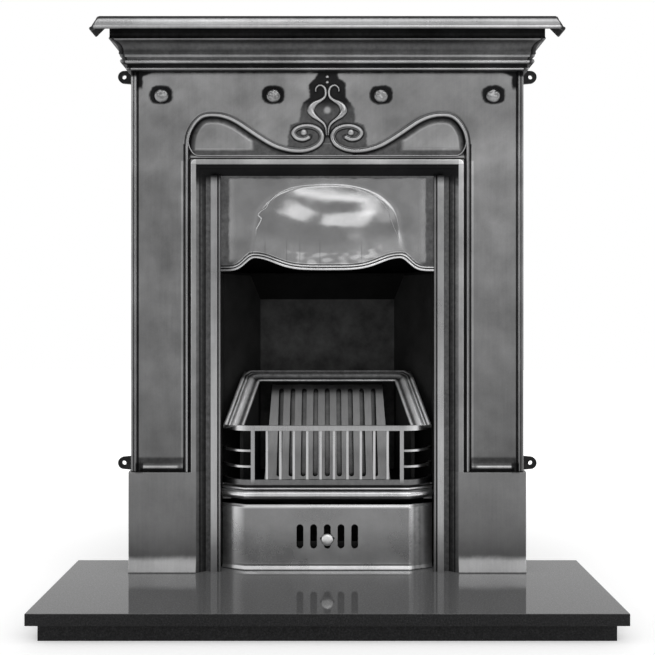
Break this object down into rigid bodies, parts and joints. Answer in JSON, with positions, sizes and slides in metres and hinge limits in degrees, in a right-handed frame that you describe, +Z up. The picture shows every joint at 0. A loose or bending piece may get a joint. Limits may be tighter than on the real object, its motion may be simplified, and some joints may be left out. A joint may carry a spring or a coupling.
{
  "type": "cast iron fireplace",
  "caption": "Highlight-polished cast iron combination fireplace: mantel with whiplash frieze, bulged hood, fire basket, ash pit and boxed granite hearth.",
  "frame": {"origin": "middle of the footprint of hearth and firebox together, at floor level", "axes": "+X to the right, +Y from the room to the wall, +Z up"},
  "size_m": [1.219, 0.543, 1.332],
  "materials": {
    "polished_iron": "cast iron, hand polished on its high places, black in its recesses",
    "grate_iron": "plain cast iron, lightly burnished",
    "black_iron": "matt black cast iron",
    "fireback": "rough dark fireback panel, mottled",
    "fixings": "plain steel bolts, nuts and pin",
    "knob_steel": "turned and polished steel knob",
    "pan_steel": "black painted sheet steel",
    "granite": "black granite: polished top, finely speckled honed edges"
  },
  "bodies": {
    "fireplace": {"hearth_slab": "granite", "hearth_front_riser": "granite", "hearth_left_riser": "granite", "hearth_right_riser": "granite", "hearth_back_riser": "granite", "front_casting": "polished_iron", "cornice": "polished_iron", "mantel_shelf": "polished_iron", "insert_frame": "polished_iron", "hood": "polished_iron", "basket_rim": "polished_iron", "back_grate": "grate_iron", "front_bars": "polished_iron", "bar_rest": "polished_iron", "cornice_bolts": "fixings", "cornice_nuts": "fixings", "shelf_bolts": "fixings", "frame_bolts": "fixings", "hood_bolts": "fixings", "damper_pin": "fixings", "cheek_left": "black_iron", "cheek_right": "black_iron", "fireback": "fireback", "smoke_chamber": "black_iron", "basket_side_left": "black_iron", "basket_side_right": "black_iron", "basket_ledge": "black_iron", "grate_bed": "black_iron", "base_plate": "black_iron", "ashpit_wall_left": "black_iron", "ashpit_wall_right": "black_iron"},
    "damper": {"damper_flap": "black_iron"},
    "cover": {"ash_cover": "polished_iron"},
    "slider": {"air_slider": "black_iron", "slider_knob": "knob_steel"},
    "pan": {"ashpan": "pan_steel", "ashpan_handle": "pan_steel"}
  },
  "joints": [
    {"name": "damper_hinge", "type": "hinge", "parent": "fireplace", "child": "damper", "pos_m": [0, 0.1975, 0.98], "axis": [-1, 0, 0], "range_deg": [0, 75]},
    {"name": "cover_slide", "type": "slide", "parent": "fireplace", "child": "cover", "axis": [0, -1, 0], "range_m": [0, 0.17]},
    {"name": "pan_slide", "type": "slide", "parent": "fireplace", "child": "pan", "axis": [0, -1, 0], "range_m": [0, 0.17]},
    {"name": "air_slide", "type": "slide", "parent": "cover", "child": "slider", "axis": [1, 0, 0], "range_m": [-0.0135, 0.0135]}
  ],
  "couplings": [
    {"joint": "pan_slide", "follows": "cover_slide", "ratio": 1}
  ]
}
